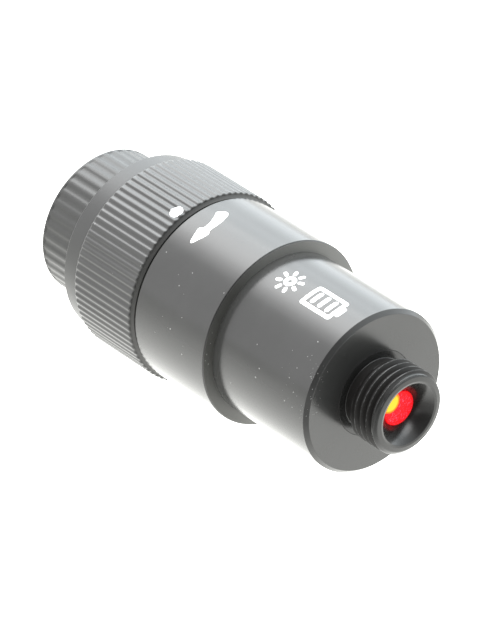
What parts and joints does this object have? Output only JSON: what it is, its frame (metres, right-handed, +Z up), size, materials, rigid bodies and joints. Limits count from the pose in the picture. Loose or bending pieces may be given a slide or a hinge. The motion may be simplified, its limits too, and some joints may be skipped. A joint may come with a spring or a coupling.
{
  "type": "reticle illuminator",
  "caption": "Battery-powered red illuminator for a telescope reticle: stepped black metal barrel, threaded nose, knurled brightness ring and fluted screw cap.",
  "frame": {"origin": "centre of the bounding box in plan, at the height of the surface that the knurled ring lies on", "axes": "+X along the axis towards the threaded nose, +Z up; the axis is 9.25 mm above the origin"},
  "size_m": [0.0422, 0.0184, 0.0185],
  "materials": {
    "barrel_black": "satin black anodised",
    "nose_black": "satin black anodised",
    "ring_black": "satin black anodised, straight knurl",
    "cap_black": "satin black anodised, fluted",
    "led_red": "red epoxy, lit",
    "black_plastic": "moulded",
    "circuit_board": "green solder mask",
    "ceramic_chip": "matt",
    "brass": "turned",
    "spring_steel": "drawn wire",
    "tinned_wire": "tinned",
    "cell_steel": "nickel plated",
    "clear_liner": "translucent film",
    "carbon_track": "printed carbon",
    "washer_black": "low-friction plastic",
    "tube_black": "satin black anodised, bare in the bore",
    "rubber_black": "smooth"
  },
  "bodies": {
    "root": {"barrel_shell": "barrel_black", "threaded_nose": "nose_black", "led_lens": "led_red", "led_anode_lead": "tinned_wire", "led_cathode_lead": "tinned_wire", "led_holder": "black_plastic", "control_board": "circuit_board", "series_resistor": "ceramic_chip", "board_retaining_ring": "brass", "spring_guide": "black_plastic", "positive_contact_spring": "spring_steel", "inner_tube": "tube_black", "battery_liner": "clear_liner", "battery_cell_front": "cell_steel", "battery_cell_rear": "cell_steel", "track_band": "carbon_track", "track_lead": "tinned_wire", "thrust_washer": "washer_black", "wave_washer": "spring_steel", "ring_stop_pin": "spring_steel"},
    "control_ring": {"control_ring": "ring_black", "wiper_spring": "brass"},
    "spring_unit": {"spring_contact_disc": "brass", "cap_spring": "spring_steel"},
    "battery_cap": {"battery_cap": "cap_black", "cap_o_ring": "rubber_black"}
  },
  "joints": [
    {"name": "ring_turn", "type": "hinge", "parent": "root", "child": "control_ring", "pos_m": [-0.01081, 0, 0.00925], "axis": [1, 0, 0], "range_deg": [-30, 240]},
    {"name": "cap_slide", "type": "slide", "parent": "root", "child": "spring_unit", "axis": [-1, 0, 0], "range_m": [0, 0.00412]},
    {"name": "cap_turn", "type": "hinge", "parent": "spring_unit", "child": "battery_cap", "pos_m": [-0.01731, 0, 0.00925], "axis": [-1, 0, 0], "range_deg": [0, 1980]}
  ],
  "couplings": [
    {"joint": "cap_turn", "follows": "cap_slide", "rad_per_m": 8377.6}
  ]
}
